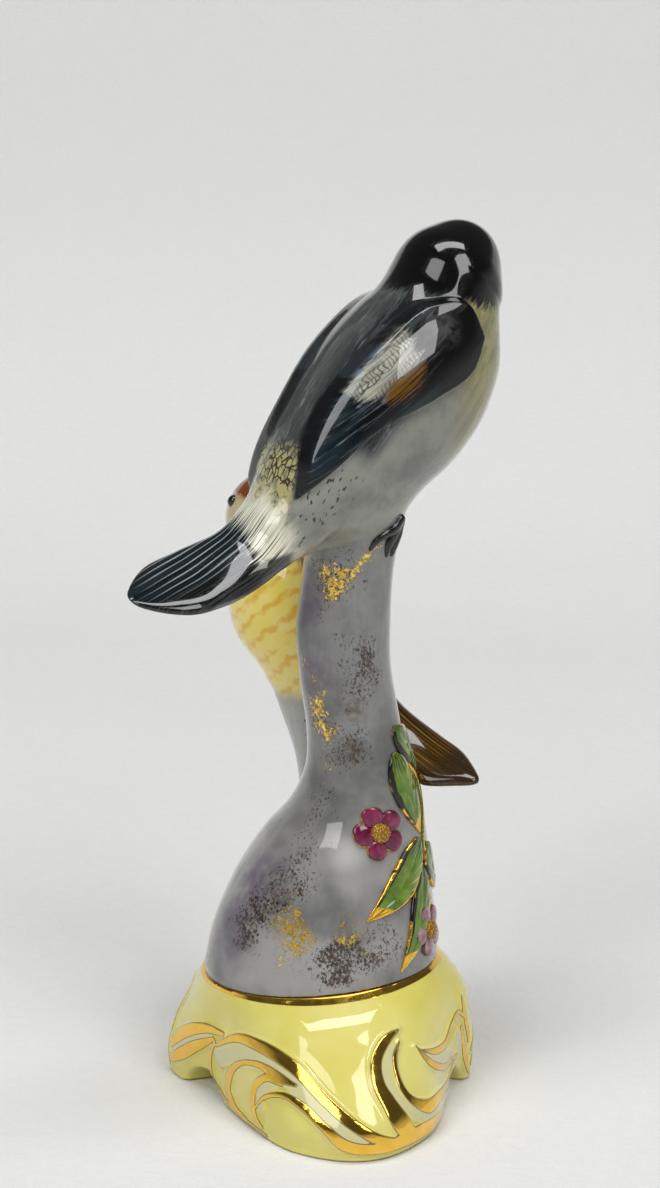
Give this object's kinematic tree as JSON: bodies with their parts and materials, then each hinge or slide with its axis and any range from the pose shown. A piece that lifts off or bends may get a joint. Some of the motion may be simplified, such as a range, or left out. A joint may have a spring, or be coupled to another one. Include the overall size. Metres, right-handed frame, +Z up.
{
  "type": "porcelain figurine",
  "caption": "Glazed porcelain figurine of two small birds on a forked branch with leaves and flowers, on a lobed rococo plinth",
  "frame": {"origin": "the middle of the plinth's flat foot, on the surface that it rests on", "axes": "+Z up; +X to the figurine's right as shown, with the tall branch and the dark bird in front (-Y) of the short branch and the yellow bird"},
  "size_m": [0.0665, 0.0797, 0.1587],
  "materials": {
    "plinth_glaze": "glossy cream-yellow glaze with painted bright gold scrolls and a gold line at the joint",
    "branch_glaze": "glossy lilac-grey glaze with violet clouds and stippled gold and brown",
    "leaf_enamel": "green enamel with gold edges",
    "stem_gilding": "bright gold over glaze",
    "petal_enamel": "magenta enamel with gold edges",
    "flower_centre_enamel": "yellow enamel",
    "dark_bird_glaze": "glossy underglaze painting in black, grey and cream",
    "black_enamel": "mirror-glossy black",
    "dark_wing_enamel": "glossy black and blue-black feathers with a white and a brown patch",
    "dark_tail_enamel": "glossy black tail with white shafts",
    "beak_enamel": "glossy slate grey",
    "eye_enamel": "glossy black",
    "claw_enamel": "glossy black",
    "yellow_bird_glaze": "glossy yellow breast with ochre scallops",
    "yellow_head_glaze": "cream cheeks under a russet cap",
    "brown_wing_enamel": "glossy brown feathers with pale edges",
    "brown_tail_enamel": "glossy brown tail with dark shafts"
  },
  "bodies": {
    "root": {"plinth": "plinth_glaze", "trunk": "branch_glaze", "short_branch": "branch_glaze", "leaves": "leaf_enamel", "stem": "stem_gilding", "flower_petals": "petal_enamel", "flower_centres": "flower_centre_enamel", "upper_body": "dark_bird_glaze", "upper_head": "black_enamel", "upper_right_wing": "dark_wing_enamel", "upper_left_wing": "dark_wing_enamel", "upper_tail": "dark_tail_enamel", "upper_beak": "beak_enamel", "upper_eyes": "eye_enamel", "upper_feet": "claw_enamel", "lower_body": "yellow_bird_glaze", "lower_head": "yellow_head_glaze", "lower_right_wing": "brown_wing_enamel", "lower_left_wing": "brown_wing_enamel", "lower_tail": "brown_tail_enamel", "lower_beak": "beak_enamel", "lower_eyes": "eye_enamel", "lower_feet": "claw_enamel"}
  },
  "joints": []
}
